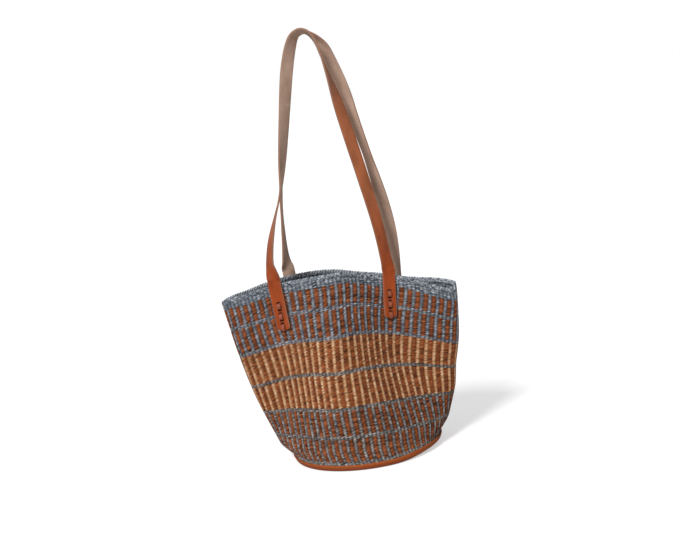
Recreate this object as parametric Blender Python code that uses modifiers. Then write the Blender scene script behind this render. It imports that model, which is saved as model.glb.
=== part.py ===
# Kiondo basket: a twined sisal bag on a round leather base, with two laced leather straps.
# Metres, +Z up. The front faces -Y, the base rests on Z = 0 and the mouth is long along X.

import math

import bmesh
import bpy
from mathutils import Matrix, Vector

# Bag: the round base grows into a long narrow mouth
mouth_width = 0.382
mouth_depth = 0.080
base_diameter = 0.239
wall = 0.005
clearance = 0.0003
base_shift = 0.011
left_fullness = 1.35
right_fullness = 1.55
depth_fullness = 4.0

# Bag: how far the two ends of the mouth hang below its middle
left_droop = 0.030
right_droop = 0.076
left_droop_power = 2.7
front_droop_ease_share = 0.16
back_droop_ease_share = 0.35
right_rim_widening = 0.0080
flat_height = 0.010

# Bag: a belly stands out between two flat wings. Each place across is given at the base
# and at the mouth.
belly_depth = 0.068
belly_drop = 0.85
belly_shape = 1.1
belly_left_start = (-0.135, -0.119)
belly_left_full = (-0.021, -0.005)
belly_right_full = (0.022, -0.063)
belly_right_end = (0.198, 0.047)

# Bag: the front is pressed in to the right of its middle, and the back of the mouth sags
press_depth = 0.029
press_place = 0.078
press_left_spread = 0.058
press_right_spread = 0.095
press_fade = 1.2
press_end_share = 0.95
back_sag = 0.0075
back_sag_place = 0.035
back_sag_spread = 0.042
back_sag_fade = 4.0

# Weave: heights of the courses, from the base up
bottom_row_height = 0.0102
lower_band_b_height = 0.0360
lower_band_a_height = 0.0395
middle_band_b_height = 0.0497
middle_band_a_height = 0.0467
upper_band_b_height = 0.0372
upper_band_a_height = 0.0306
blue_row_height = 0.0052
rim_band_height = 0.0105
braid_height = 0.0060
floor_thickness = 0.0050
course_step = 0.0260
laced_course_step = 0.0105

# Leather base: a shallow cup sewn on from below
sole_thickness = 0.0030
lip_thickness = 0.0025
lip_height = 0.0090
sole_edge_radius = 0.0045
lip_edge_radius = 0.0008

# Straps
strap_width = 0.0210
strap_thickness = 0.0030
strap_apex_height = 0.6842
strap_apex_apart = 0.0230
front_strap_span = 0.1835
front_strap_place = -0.0078
back_strap_span = 0.1730
back_strap_place = 0.0095
bend_rise = 0.0080
strap_rest = 0.0011
left_end_length = 0.0800
right_end_length = 0.0740
strap_end_lean = 0.0070
strap_end_corner = 0.0045

# Lacing: one flat thong for each strap end
thong_width = 0.0050
thong_thickness = 0.0018
thong_slack = 0.0004
thong_turn = 0.0012
thong_crown = 0.0010
thong_tail = 0.0120
last_hole = 0.0095
stitch_length = 0.0110
stitch_apart = 0.0070
below_end = 0.0026
join_keep = 0.0012
cut_overrun = 0.0040

around_segments = 62
braid_segments = 6
strap_steps = 2
strap_end_segments = 9
strap_end_columns = 4

# Straps: share of the half span, share of the way up, and turn of the grain side in degrees.
# The turn is 90 where the grain faces the front and 0 where it faces out of the loop.
front_strap_shares = (
    (-1.000, 0.000, 90.0),
    (-1.015, 0.035, 35.0),
    (-1.020, 0.075, 21.0),
    (-0.975, 0.138, 18.0),
    (-0.905, 0.198, 13.0),
    (-0.820, 0.258, 5.0),
    (-0.725, 0.318, 0.0),
    (-0.655, 0.370, -5.0),
    (-0.605, 0.430, -13.0),
    (-0.550, 0.500, -26.0),
    (-0.455, 0.620, -42.0),
    (-0.395, 0.695, -52.0),
    (-0.340, 0.765, -60.0),
    (-0.280, 0.835, -66.0),
    (-0.215, 0.895, -62.0),
    (-0.150, 0.943, -54.0),
    (-0.080, 0.978, -42.0),
    (0.010, 0.997, -26.0),
    (0.090, 1.000, -16.0),
    (0.175, 0.990, -12.0),
    (0.245, 0.970, -9.0),
    (0.300, 0.940, -5.0),
    (0.350, 0.890, 0.0),
    (0.447, 0.790, 19.0),
    (0.557, 0.670, 46.0),
    (0.675, 0.535, 53.0),
    (0.745, 0.450, 51.0),
    (0.820, 0.355, 47.0),
    (0.870, 0.290, 45.0),
    (0.920, 0.218, 43.0),
    (0.960, 0.140, 43.0),
    (0.982, 0.070, 46.0),
    (0.995, 0.030, 60.0),
    (1.000, 0.000, 90.0),
)
back_strap_shares = (
    (-1.000, 0.000, -90.0),
    (-1.012, 0.030, -42.0),
    (-1.013, 0.065, -26.0),
    (-1.003, 0.115, -15.0),
    (-0.988, 0.175, -9.0),
    (-0.968, 0.240, -4.0),
    (-0.940, 0.310, -5.0),
    (-0.870, 0.420, -8.0),
    (-0.780, 0.515, -18.0),
    (-0.695, 0.615, -24.0),
    (-0.565, 0.765, -26.0),
    (-0.450, 0.880, -26.0),
    (-0.350, 0.945, -24.0),
    (-0.250, 0.982, -18.0),
    (-0.150, 0.996, -12.0),
    (-0.050, 0.996, -8.0),
    (0.060, 0.982, -14.0),
    (0.160, 0.958, -30.0),
    (0.240, 0.925, -56.0),
    (0.312, 0.878, -78.0),
    (0.395, 0.825, -80.0),
    (0.470, 0.772, -70.0),
    (0.535, 0.718, -60.0),
    (0.592, 0.660, -50.0),
    (0.670, 0.585, -40.0),
    (0.733, 0.525, -36.0),
    (0.780, 0.478, -35.0),
    (0.852, 0.400, -46.0),
    (0.920, 0.320, -60.0),
    (0.975, 0.240, -74.0),
    (1.008, 0.170, -83.0),
    (1.018, 0.100, -86.0),
    (1.012, 0.045, -88.0),
    (1.000, 0.000, -90.0),
)

# Values worked out from the sizes above
base_radius = base_diameter / 2
mouth_half = mouth_width / 2
mouth_half_depth = mouth_depth / 2
thong_half = thong_thickness / 2
strap_half = strap_thickness / 2

blue = (0.13, 0.19, 0.25, 1.0)
rust = (0.33, 0.11, 0.03, 1.0)
straw = (0.40, 0.25, 0.13, 1.0)
tan_leather = (0.42, 0.12, 0.03, 1.0)
brown_leather = (0.20, 0.05, 0.02, 1.0)
sisal_roughness = 0.9
leather_roughness = 0.55

# Courses of the wall, from the base up: name, height and colour
courses = (
    ("bottom_blue_row", bottom_row_height, blue),
    ("lower_band_b", lower_band_b_height, rust),
    ("blue_row_5", blue_row_height, blue),
    ("lower_band_a", lower_band_a_height, rust),
    ("blue_row_4", blue_row_height, blue),
    ("middle_band_b", middle_band_b_height, straw),
    ("blue_row_3", blue_row_height, blue),
    ("middle_band_a", middle_band_a_height, straw),
    ("blue_row_2", blue_row_height, blue),
    ("upper_band_b", upper_band_b_height, rust),
    ("blue_row_1", blue_row_height, blue),
    ("upper_band_a", upper_band_a_height, rust),
    ("rim_band", rim_band_height, blue),
)
laced_courses = ("upper_band_b", "blue_row_1", "upper_band_a")
wall_bottom = sole_thickness + clearance
braid_bottom = wall_bottom + sum(height + clearance for _, height, _ in courses)
wall_height = braid_bottom + braid_height
rim_bottom = braid_bottom - clearance - rim_band_height
joins = [wall_bottom + sum(height + clearance for _, height, _ in courses[:count]) - clearance / 2
         for count in range(1, len(courses) + 1)]
slot_along = thong_thickness + 2 * thong_slack
join_margin = slot_along / 2 + join_keep
bend_level = wall_height + bend_rise

# A strap end is named by its side, -1 front and 1 back, and its hand, -1 left and 1 right
front, back = -1, 1
left, right = -1, 1


def start_collections():
    for old in list(bpy.data.objects):
        bpy.data.objects.remove(old, do_unlink=True)
    made = []
    for name in ("kiondo_basket", "cutters"):
        collection = bpy.data.collections.new(name)
        bpy.context.scene.collection.children.link(collection)
        made.append(collection)
    return made


parts, cutters = start_collections()


def finish(name, colour, roughness):
    material = bpy.data.materials.new(name)
    material.use_nodes = True
    shader = material.node_tree.nodes["Principled BSDF"]
    shader.inputs["Base Color"].default_value = colour
    shader.inputs["Roughness"].default_value = roughness
    shader.inputs["Metallic"].default_value = 0.0
    return material


def add_part(name, mesh, colour, roughness):
    part = bpy.data.objects.new(name, mesh)
    parts.objects.link(part)
    mesh.materials.clear()
    mesh.materials.append(finish(name, colour, roughness))
    mesh.shade_smooth()
    mesh.set_sharp_from_angle(angle=math.radians(35))
    return part


def take_mesh(name, height=0.0):
    # The mesh of the primitive that was just added, lifted, and its object removed
    helper = bpy.context.object
    evaluated = helper.evaluated_get(bpy.context.evaluated_depsgraph_get())
    mesh = bpy.data.meshes.new_from_object(evaluated)
    mesh.name = name
    bpy.data.objects.remove(helper, do_unlink=True)
    mesh.transform(Matrix.Translation(Vector((0, 0, height))))
    return mesh


# Shape of the wall. Turn is the angle round the bag, 0 at +X and counter-clockwise from above.
# Level is the height at the middle of the mouth, and depth runs inwards from the outer face.
def reach_at(hand, level):
    remaining = 1.0 - min(max(level / wall_height, 0.0), 1.0)
    fullness = right_fullness if hand == right else left_fullness
    return mouth_half - (mouth_half - base_radius) * remaining ** fullness


def centre_at(level):
    return base_shift * (1.0 - min(max(level / wall_height, 0.0), 1.0))


def smooth_step(share):
    share = min(max(share, 0.0), 1.0)
    return share * share * (3.0 - 2.0 * share)


def belly_at(x, up):
    # How far the belly stands out at a place across the bag
    start, full, full_again, end = (
        low + (high - low) * up
        for low, high in (belly_left_start, belly_left_full, belly_right_full, belly_right_end))
    rise = smooth_step((x - start) / (full - start))
    fall = smooth_step((end - x) / (end - full_again))
    return belly_depth * max(math.sin(math.pi * up ** belly_drop), 0.0) ** belly_shape * rise * fall


def pressed_in(x, up, front_share):
    spread = press_left_spread if x < press_place else press_right_spread
    reach = math.exp(-((x - press_place) / spread) ** 2)
    return press_depth * up ** press_fade * reach * smooth_step(front_share / press_end_share)


def wall_outline(turn, level):
    up = min(max(level / wall_height, 0.0), 1.0)
    way = math.cos(turn)
    hand = right if way > 0 else left
    half_depth = mouth_half_depth + (base_radius - mouth_half_depth) * (1.0 - up) ** depth_fullness
    x = centre_at(level) + reach_at(hand, level) * way
    y = half_depth * math.sin(turn) + math.copysign(belly_at(x, up), math.sin(turn))
    rising = min(max(level - flat_height, 0.0) / (wall_height - flat_height), 1.0)
    z = level - left_droop * abs(way) ** left_droop_power * rising
    if hand == right:
        ease = front_droop_ease_share if math.sin(turn) < 0 else back_droop_ease_share
        share = (math.hypot(way, ease) - ease) / (math.hypot(1.0, ease) - ease)
        widening = min(max((level - rim_bottom) / (wall_height - rim_bottom), 0.0), 1.0)
        z = level - (right_droop * rising - right_rim_widening * widening) * share
    if math.sin(turn) < 0:
        y += pressed_in(x, up, -math.sin(turn))
    else:
        sag = math.exp(-((x - back_sag_place) / back_sag_spread) ** 2)
        z -= back_sag * up ** back_sag_fade * sag
    return Vector((x, y, z))


def wall_point(turn, level, depth):
    turn_step = math.radians(0.05)
    along = wall_outline(turn + turn_step, level) - wall_outline(turn - turn_step, level)
    inwards = Vector((-along.y, along.x, 0.0)).normalized()
    return wall_outline(turn, level) + inwards * depth


def turn_at(side, x, level):
    offset = x - centre_at(level)
    hand = right if offset > 0 else left
    return side * math.acos(min(max(offset / reach_at(hand, level), -1.0), 1.0))


def level_at(side, x, z):
    # The level of the wall behind a place seen from the front
    level = z
    for _ in range(12):
        level += z - wall_outline(turn_at(side, x, level), level).z
    return level


def wall_seat(side, x, z, depth):
    # The point of the wall behind a place seen from the front, some depth into the wall
    level = level_at(side, x, z)
    return wall_point(turn_at(side, x, level), level, depth)


def press_to_wall(mesh):
    # Turned pieces are modelled round a straight cylinder and then take the shape of the bag
    for vertex in mesh.vertices:
        turn = math.atan2(vertex.co.y, vertex.co.x)
        depth = base_radius - math.hypot(vertex.co.x, vertex.co.y)
        vertex.co = wall_point(turn, vertex.co.z, depth)
    mesh.update()


def cut_across(shape, point, normal):
    # A new line of points where a plane crosses the shape
    bmesh.ops.bisect_plane(
        shape, geom=shape.verts[:] + shape.edges[:] + shape.faces[:],
        plane_co=point, plane_no=normal)


def cut_level(mesh, level):
    shape = bmesh.new()
    shape.from_mesh(mesh)
    cut_across(shape, (0, 0, level), (0, 0, 1))
    shape.to_mesh(mesh)
    shape.free()


def split_joins(mesh):
    # The level faces of every course are split along the same diagonals, so two courses that
    # meet never cross
    shape = bmesh.new()
    shape.from_mesh(mesh)
    for face in shape.faces[:]:
        middle = face.calc_center_median()
        if all(math.isclose(point.co.z, middle.z, abs_tol=clearance) for point in face.verts):
            ahead = {point: middle.x * point.co.y - middle.y * point.co.x for point in face.verts}
            outer = [point for point in face.verts if point.co.xy.length > middle.xy.length]
            inner = [point for point in face.verts if point not in outer]
            bmesh.utils.face_split(face, min(outer, key=ahead.get), max(inner, key=ahead.get))
    shape.to_mesh(mesh)
    shape.free()


def add_course(name, low, height, colour):
    bpy.ops.mesh.primitive_cylinder_add(
        vertices=around_segments, radius=base_radius, depth=height, end_fill_type="NOTHING")
    shell = bpy.context.object.modifiers.new("wall", "SOLIDIFY")
    shell.thickness = wall
    shell.offset = -1.0
    shell.use_even_offset = True
    mesh = take_mesh(name, low + height / 2)
    steps = math.ceil(height / (laced_course_step if name in laced_courses else course_step))
    for step in range(1, steps):
        cut_level(mesh, low + height * step / steps)
    split_joins(mesh)
    press_to_wall(mesh)
    return add_part(name, mesh, colour, sisal_roughness)


def add_wall():
    made = {}
    low = wall_bottom
    for name, height, colour in courses:
        made[name] = add_course(name, low, height, colour)
        low += height + clearance
    return made


def add_rim_braid():
    minor = braid_height / 2
    bpy.ops.mesh.primitive_torus_add(
        major_segments=around_segments, minor_segments=braid_segments,
        major_radius=base_radius - minor, minor_radius=minor)
    mesh = take_mesh("rim_braid", braid_bottom + minor)
    press_to_wall(mesh)
    return add_part("rim_braid", mesh, blue, sisal_roughness)


def add_woven_floor():
    bpy.ops.mesh.primitive_cylinder_add(
        vertices=around_segments, radius=base_radius - wall - clearance,
        depth=floor_thickness, end_fill_type="NGON")
    mesh = take_mesh("woven_floor", wall_bottom + floor_thickness / 2)
    press_to_wall(mesh)
    return add_part("woven_floor", mesh, straw, sisal_roughness)


def rim_edges(shape, height, radius):
    # The edges that run round a turned shape at one height and radius
    found = []
    for edge in shape.edges:
        ends = [point.co for point in edge.verts]
        if all(math.isclose(end.z, height, abs_tol=clearance) for end in ends):
            if all(math.isclose(math.hypot(end.x, end.y), radius, abs_tol=clearance) for end in ends):
                found.append(edge)
    return found


def add_leather_base():
    outside = base_radius + clearance + lip_thickness
    bpy.ops.mesh.primitive_cylinder_add(
        vertices=around_segments, radius=outside, depth=lip_height, end_fill_type="NGON")
    mesh = take_mesh("leather_base", lip_height / 2)
    shape = bmesh.new()
    shape.from_mesh(mesh)
    top = max(shape.faces, key=lambda face: face.calc_center_median().z)
    bmesh.ops.inset_region(shape, faces=[top], thickness=lip_thickness)
    sunk = bmesh.ops.extrude_face_region(shape, geom=[top])
    sunk_points = [item for item in sunk["geom"] if isinstance(item, bmesh.types.BMVert)]
    bmesh.ops.translate(shape, verts=sunk_points, vec=(0, 0, sole_thickness - lip_height))
    if top.is_valid:
        bmesh.ops.delete(shape, geom=[top], context="FACES_ONLY")
    bmesh.ops.bevel(
        shape, geom=rim_edges(shape, 0.0, outside), offset=sole_edge_radius,
        segments=2, profile=0.5, affect="EDGES")
    bmesh.ops.bevel(
        shape, geom=rim_edges(shape, lip_height, outside), offset=lip_edge_radius,
        segments=1, profile=0.5, affect="EDGES")
    bmesh.ops.recalc_face_normals(shape, faces=shape.faces)
    shape.to_mesh(mesh)
    shape.free()
    press_to_wall(mesh)
    return add_part("leather_base", mesh, brown_leather, leather_roughness)


# Flat pieces start as a straight bar: width across X, length up Y, thickness up Z
def bar(name, width, length, thickness, segments, columns=1, corner=0.0):
    bpy.ops.mesh.primitive_cube_add(size=1.0)
    mesh = take_mesh(name)
    mesh.transform(Matrix.Diagonal((width, length, thickness, 1.0))
                   @ Matrix.Translation((0, 1 / 2, 1 / 2)))
    shape = bmesh.new()
    shape.from_mesh(mesh)
    if corner > 0:
        lower_corners = []
        for edge in shape.edges:
            ends = [point.co for point in edge.verts]
            if abs(ends[0].z - ends[1].z) > thickness / 2 and ends[0].y < length / 2:
                lower_corners.append(edge)
        bmesh.ops.bevel(
            shape, geom=lower_corners, offset=corner, segments=3, profile=0.5, affect="EDGES")
    for step in range(1, segments):
        cut_across(shape, (0, length * step / segments, 0), (0, 1, 0))
    for step in range(1, columns):
        cut_across(shape, (width * (step / columns - 1 / 2), 0, 0), (1, 0, 0))
    shape.to_mesh(mesh)
    shape.free()
    return mesh


def bend_mesh(mesh, place):
    for vertex in mesh.vertices:
        vertex.co = place(*vertex.co)
    mesh.update()


def strap_values(side):
    if side == front:
        return front_strap_place, front_strap_span, front_strap_shares
    return back_strap_place, back_strap_span, back_strap_shares


def bend_place(side, hand):
    # Where a strap bends, just above the rim
    place, span, _ = strap_values(side)
    x = place + hand * span / 2
    z = wall_outline(turn_at(side, x, bend_level), bend_level).z
    return wall_seat(side, x, z, 0.0)


def bend_axis(side):
    # The straight line through both bends, from left to right
    return (bend_place(side, right) - bend_place(side, left)).normalized()


def end_length(hand):
    return left_end_length if hand == left else right_end_length


def end_direction(hand):
    # Which way a strap end runs up the wall, as seen from the front
    lean = hand * strap_end_lean / end_length(hand)
    return lean, math.sqrt(1.0 - lean ** 2)


def end_middle(side, hand, along):
    # The middle line of a strap end, as seen from the front
    lean, upright = end_direction(hand)
    bend = bend_place(side, hand)
    below = end_length(hand) - along
    return bend.x - below * lean, bend.z - below * upright


def end_seat(side, hand, across, along, out):
    # A place on a strap end: across it, along it from its lower end, and out from the wall
    length = end_length(hand)
    lean, upright = end_direction(hand)
    x, z = end_middle(side, hand, along)
    seat = wall_seat(side, x - side * across * upright, z + side * across * lean, -out)

    # Above the rim the strap straightens until it lies along the line of both bends
    straight = min(max((along - length + bend_rise) / bend_rise, 0.0), 1.0)
    axis = bend_axis(side)
    facing = side * Vector((-axis.y, axis.x, 0.0)).normalized()
    flat = wall_seat(side, x, z, 0.0) - side * across * axis + facing * out
    return seat.lerp(flat, straight)


def end_name(side, hand):
    return ("front" if side == front else "back") + ("_left" if hand == left else "_right")


def add_strap_end(side, hand, slots):
    name = end_name(side, hand) + "_strap_end"
    length = end_length(hand) - clearance / 2
    mesh = bar(
        name, strap_width, length, strap_thickness,
        strap_end_segments, strap_end_columns, strap_end_corner)
    bend_mesh(mesh, lambda across, along, out: end_seat(
        side, hand, across, along, out + strap_rest))
    part = add_part(name, mesh, tan_leather, leather_roughness)
    cut_slots(part, slots)
    return part


def clear_of_joins(side, hand, along):
    # A hole is never punched where two courses of the weave meet
    level = level_at(side, *end_middle(side, hand, along))
    for join in joins:
        off = level - join
        if abs(off) < join_margin:
            return along + math.copysign(join_margin, off) - off
    return along


def hole_places(side, hand):
    # Along the strap end from its lower end up, after the hole in the wall just below it
    places = [last_hole]
    for step in (stitch_apart, stitch_length, stitch_apart, stitch_length):
        places.append(places[-1] + step)
    return [clear_of_joins(side, hand, along) for along in [-below_end] + places]


def add_slots():
    # One slot in the wall and the strap end for each pass of the thong
    joined = bmesh.new()
    slot_across = thong_width + 2 * thong_slack
    slot_deep = wall + strap_rest + strap_thickness + 2 * cut_overrun
    for side in (front, back):
        for hand in (left, right):
            for hole in hole_places(side, hand):
                mesh = bar("slot", slot_across, slot_along, slot_deep, 1)
                bend_mesh(mesh, lambda across, along, out: end_seat(
                    side, hand, across, hole - slot_along / 2 + along, out - wall - cut_overrun))
                joined.from_mesh(mesh)
                bpy.data.meshes.remove(mesh)
    mesh = bpy.data.meshes.new("lacing_slots")
    joined.to_mesh(mesh)
    joined.free()
    slots = bpy.data.objects.new("lacing_slots", mesh)
    cutters.objects.link(slots)
    slots.hide_render = True
    slots.display_type = "WIRE"
    return slots


def cut_slots(part, slots):
    cut = part.modifiers.new("lacing_slots", "BOOLEAN")
    cut.operation = "DIFFERENCE"
    cut.solver = "EXACT"
    cut.object = slots


def thong_path(side, hand):
    # The thong's middle line as places along the strap end and out from the wall
    face = strap_rest + strap_thickness
    outer_turn = face + thong_slack
    outer_run = outer_turn + thong_turn
    inner_turn = -wall - thong_slack
    inner_run = inner_turn - thong_turn
    holes = hole_places(side, hand)[::-1]
    path = [(holes[0] + thong_tail, inner_run), (holes[0] + thong_turn, inner_run)]
    for upper, lower in ((holes[0], holes[1]), (holes[2], holes[3])):
        path += [(upper, inner_turn), (upper, outer_turn), (upper - thong_turn, outer_run)]
        path += [((upper + lower) / 2, outer_run + thong_crown)]
        path += [(lower + thong_turn, outer_run), (lower, outer_turn), (lower, inner_turn)]
        following = holes[holes.index(lower) + 1]
        path += [(lower - thong_turn, inner_run), (following + thong_turn, inner_run)]
    last, below = holes[4:]
    path += [(last, inner_turn), (last, outer_turn), (last - thong_turn, outer_run)]
    path += [(last / 2, outer_run + thong_crown), (0.0, outer_run)]
    path += [(below, outer_run + below), (below, inner_turn)]
    path += [(below - thong_turn, inner_run), (below - thong_tail, inner_run)]
    return [Vector(point) for point in path]


def mitred_offsets(path):
    # For each point of a flat path, the way to its upper side, long enough to keep the thickness
    offsets = []
    for index, point in enumerate(path):
        before = (point - path[index - 1]).normalized() if index > 0 else None
        after = (path[index + 1] - point).normalized() if index < len(path) - 1 else None
        before = before or after
        after = after or before
        mean = (before + after).normalized()
        normal = Vector((-mean.y, mean.x))
        offsets.append(normal / max(normal.dot(Vector((-before.y, before.x))), 0.5))
    return offsets


def add_lacing(side, hand):
    name = end_name(side, hand) + "_lacing"
    path = thong_path(side, hand)
    offsets = mitred_offsets(path)
    steps = len(path) - 1
    mesh = bar(name, thong_width, steps, thong_thickness, steps)

    # The path runs down the strap end, so its upper side faces the wall
    def place(across, along, thick):
        index = round(along)
        point = path[index] + offsets[index] * (thick - thong_half)
        return end_seat(side, hand, across, point.x, point.y)

    bend_mesh(mesh, place)
    return add_part(name, mesh, brown_leather, leather_roughness)


# Straps: a smooth way through the shares, with the strap's width and grain side at each place
def smooth_between(before, start, end, after, share):
    # Catmull-Rom between start and end
    squared = share * share
    cubed = squared * share
    return 0.5 * (2 * start + (end - before) * share
                  + (2 * before - 5 * start + 4 * end - after) * squared
                  + (3 * start - before - 3 * end + after) * cubed)


def strap_stations(side):
    # Stations along the strap: its middle, its grain side and its width direction
    place, span, shares = strap_values(side)
    out = strap_rest + strap_half
    ends = {hand: end_seat(side, hand, 0.0, end_length(hand), out) for hand in (left, right)}
    apex_y = side * strap_apex_apart / 2
    apex_z = strap_apex_height - strap_half
    way = []
    for across, up, turn in shares:
        end = ends[left] if across < 0 else ends[right]
        x = end.x if up == 0.0 else place + across * span / 2
        y = end.y * (1 - up) + apex_y * up
        z = end.z * (1 - up) + apex_z * up
        way.append(Vector((x, y, z, turn)))
    points = []
    for index in range(len(way) - 1):
        before = way[max(index - 1, 0)]
        after = way[min(index + 2, len(way) - 1)]
        for step in range(strap_steps):
            share = step / strap_steps
            points.append(smooth_between(before, way[index], way[index + 1], after, share))
    points.append(way[-1])
    stations = []
    for index, point in enumerate(points):
        before = points[max(index - 1, 0)].xyz
        after = points[min(index + 1, len(points) - 1)].xyz
        along = (after - before).normalized()
        outward = Vector((-along.z, 0, along.x)).normalized()
        outward = (outward - along * outward.dot(along)).normalized()
        forward = along.cross(outward)
        turn = math.radians(point.w)
        grain = outward * math.cos(turn) + forward * math.sin(turn)
        stations.append((point.xyz, grain, along.cross(grain)))
    return stations


def add_strap(side):
    name = ("front" if side == front else "back") + "_strap"
    stations = strap_stations(side)
    last = len(stations) - 1
    mesh = bar(name, strap_width, last, strap_thickness, last)

    def place(across, along, thick):
        index = round(along)
        if index in (0, last):
            hand = left if index == 0 else right
            above = end_length(hand) + clearance / 2
            return end_seat(side, hand, -hand * across, above, strap_rest + thick)
        middle, grain, wide = stations[index]
        return middle + wide * across + grain * (thick - strap_half)

    bend_mesh(mesh, place)
    part = add_part(name, mesh, tan_leather, leather_roughness)
    hinge = bpy.data.objects.new(name + "_hinge", None)
    parts.objects.link(hinge)
    face = strap_rest + strap_thickness
    ends = [end_seat(side, hand, 0.0, end_length(hand), face) for hand in (left, right)]
    middle = (ends[0] + ends[1]) / 2
    axis = bend_axis(side)
    hinge.location = middle
    mesh.transform(Matrix.Translation(-middle))
    part.parent = hinge
    length = sum((after[0] - before[0]).length for before, after in zip(stations, stations[1:]))
    print(name, "free length", round(length, 4), "hinge at", tuple(round(v, 5) for v in middle),
          "axis", tuple(round(v, 6) for v in axis))
    return part


def build():
    slots = add_slots()
    wall_courses = add_wall()
    for name in laced_courses:
        cut_slots(wall_courses[name], slots)
    add_rim_braid()
    add_woven_floor()
    add_leather_base()
    for side in (front, back):
        add_strap(side)
        for hand in (left, right):
            add_strap_end(side, hand, slots)
            add_lacing(side, hand)
    print("wall height", round(wall_height, 4), "bend level", round(bend_level, 4))


build()
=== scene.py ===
# Kiondo basket: the looks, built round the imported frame.
# Metres, +Z up. The front faces -Y, the base rests on Z = 0 and the mouth is long along X.

import math

import bpy
import numpy as np
from mathutils import Matrix, Vector


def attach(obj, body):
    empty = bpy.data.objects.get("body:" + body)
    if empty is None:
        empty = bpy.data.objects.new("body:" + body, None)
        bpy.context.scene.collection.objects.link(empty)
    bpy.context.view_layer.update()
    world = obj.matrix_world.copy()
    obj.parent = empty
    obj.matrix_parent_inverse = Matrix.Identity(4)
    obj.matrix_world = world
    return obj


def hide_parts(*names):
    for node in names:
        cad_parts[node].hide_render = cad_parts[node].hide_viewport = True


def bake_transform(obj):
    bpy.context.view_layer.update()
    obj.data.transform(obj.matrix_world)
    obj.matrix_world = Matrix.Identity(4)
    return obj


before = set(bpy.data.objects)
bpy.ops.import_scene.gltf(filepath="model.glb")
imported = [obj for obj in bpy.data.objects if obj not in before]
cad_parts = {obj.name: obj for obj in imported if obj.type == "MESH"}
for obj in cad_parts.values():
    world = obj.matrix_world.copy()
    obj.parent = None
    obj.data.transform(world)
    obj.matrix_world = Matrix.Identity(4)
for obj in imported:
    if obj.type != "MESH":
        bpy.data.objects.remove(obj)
bpy.ops.object.select_all(action="DESELECT")
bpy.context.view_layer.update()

# One millimetre, in metres
mm = 0.001

# Points of a sheet that lie closer than this are joined, while it is flat and when it is bent
joinFlat = 0.0001
joinBent = 0.00001

# Copies lie this far apart while they are flat, which also tells them apart
apart = 4

# Half the turn over which the wall's direction is measured
turnStep = math.radians(0.05)

# The bag's sizes, as in the frame
bag = {
    "mouthHalf": 0.191, "mouthHalfDepth": 0.04, "baseRadius": 0.1195, "wall": 0.005,
    "clearance": 0.0003, "baseShift": 0.011, "leftFullness": 1.35, "rightFullness": 1.55,
    "depthFullness": 4.0, "leftDroop": 0.03, "rightDroop": 0.076, "leftDroopPower": 2.7,
    "frontEase": 0.16, "backEase": 0.35, "rimWidening": 0.008, "flatHeight": 0.01,
    "backSag": 0.0075, "backSagPlace": 0.035, "backSagSpread": 0.042, "backSagFade": 4.0,
    "wallBottom": 0.0033, "braidHeight": 0.006, "rimBandHeight": 0.0105,
}

# The belly between two flat wings, with places across the bag at the base and at the mouth
belly = {
    "depth": 0.068, "drop": 0.85, "shape": 1.1, "leftStart": (-0.135, -0.119),
    "leftFull": (-0.021, -0.005), "rightFull": (0.022, -0.063), "rightEnd": (0.198, 0.047),
}

# The front is pressed in to the right of its middle
press = {
    "depth": 0.029, "place": 0.078, "leftSpread": 0.058, "rightSpread": 0.095, "fade": 1.2,
    "endShare": 0.95,
}

# Above this band the rim's two ends stand a little higher than the even fall of the rim
rimRise = {
    "low": 0.209, "high": 0.283, "front": 0.0085, "frontPlace": 0.06, "frontSpread": 0.045,
    "back": 0.024, "backPlace": 0.09, "backSpread": 0.115, "left": 0.005, "leftPlace": 0.145,
    "leftSpread": 0.04, "sideFrom": -0.3, "sideSpread": 0.28,
}

# The ends of the bag hang fuller above the base than its even taper, and the base curls up a
# little on the right
ends = {
    "leftBase": 0.004, "left": 0.014, "leftFrom": 0.006, "leftRise": 0.028, "leftFade": 0.1,
    "leftFadeRise": 0.19, "right": 0.006, "rightFrom": 0.01, "rightRise": 0.04, "rightFade": 0.1,
    "rightFadeRise": 0.07, "power": 4, "curl": 0.006, "curlPlace": 0.05, "curlSpread": 0.08,
    "curlFade": 0.06,
}

# At half their height the courses run down towards the left end of the bag
slide = {
    "down": 0.01, "from": 0.05, "reach": 0.105, "level": 0.155, "spread": 0.058, "inwards": 0.3,
}

# Heights of the courses, from the base up, and what they are woven in
courses = (
    ("bottom_blue_row", 0.0102, "blue"),
    ("lower_band_b", 0.036, "blueColumns"),
    ("blue_row_5", 0.0052, "blue"),
    ("lower_band_a", 0.0395, "blueColumns"),
    ("blue_row_4", 0.0052, "blue"),
    ("middle_band_b", 0.0497, "strawColumns"),
    ("blue_row_3", 0.0052, "blue"),
    ("middle_band_a", 0.0467, "strawColumns"),
    ("blue_row_2", 0.0052, "blue"),
    ("upper_band_b", 0.0372, "blueColumns"),
    ("blue_row_1", 0.0052, "blue"),
    ("upper_band_a", 0.0306, "blueColumns"),
    ("rim_band", 0.0105, "blue"),
)
courseSteps = sum(height + bag["clearance"] for _, height, _ in courses)
braidBottom = bag["wallBottom"] + courseSteps
wallHeight = braidBottom + bag["braidHeight"]
rimBottom = braidBottom - bag["clearance"] - bag["rimBandHeight"]


def smoothStep(share):
    share = np.clip(share, 0.0, 1.0)
    return share * share * (3.0 - 2.0 * share)


def bellyAt(x, up):
    # How far the belly stands out at a place across the bag
    start, full, fullAgain, end = (
        belly[name][0] + (belly[name][1] - belly[name][0]) * up
        for name in ("leftStart", "leftFull", "rightFull", "rightEnd"))
    rise = smoothStep((x - start) / (full - start))
    fall = smoothStep((end - x) / (end - fullAgain))
    bulge = np.clip(np.sin(math.pi * up ** belly["drop"]), 0.0, None) ** belly["shape"]
    return belly["depth"] * bulge * rise * fall


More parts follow.
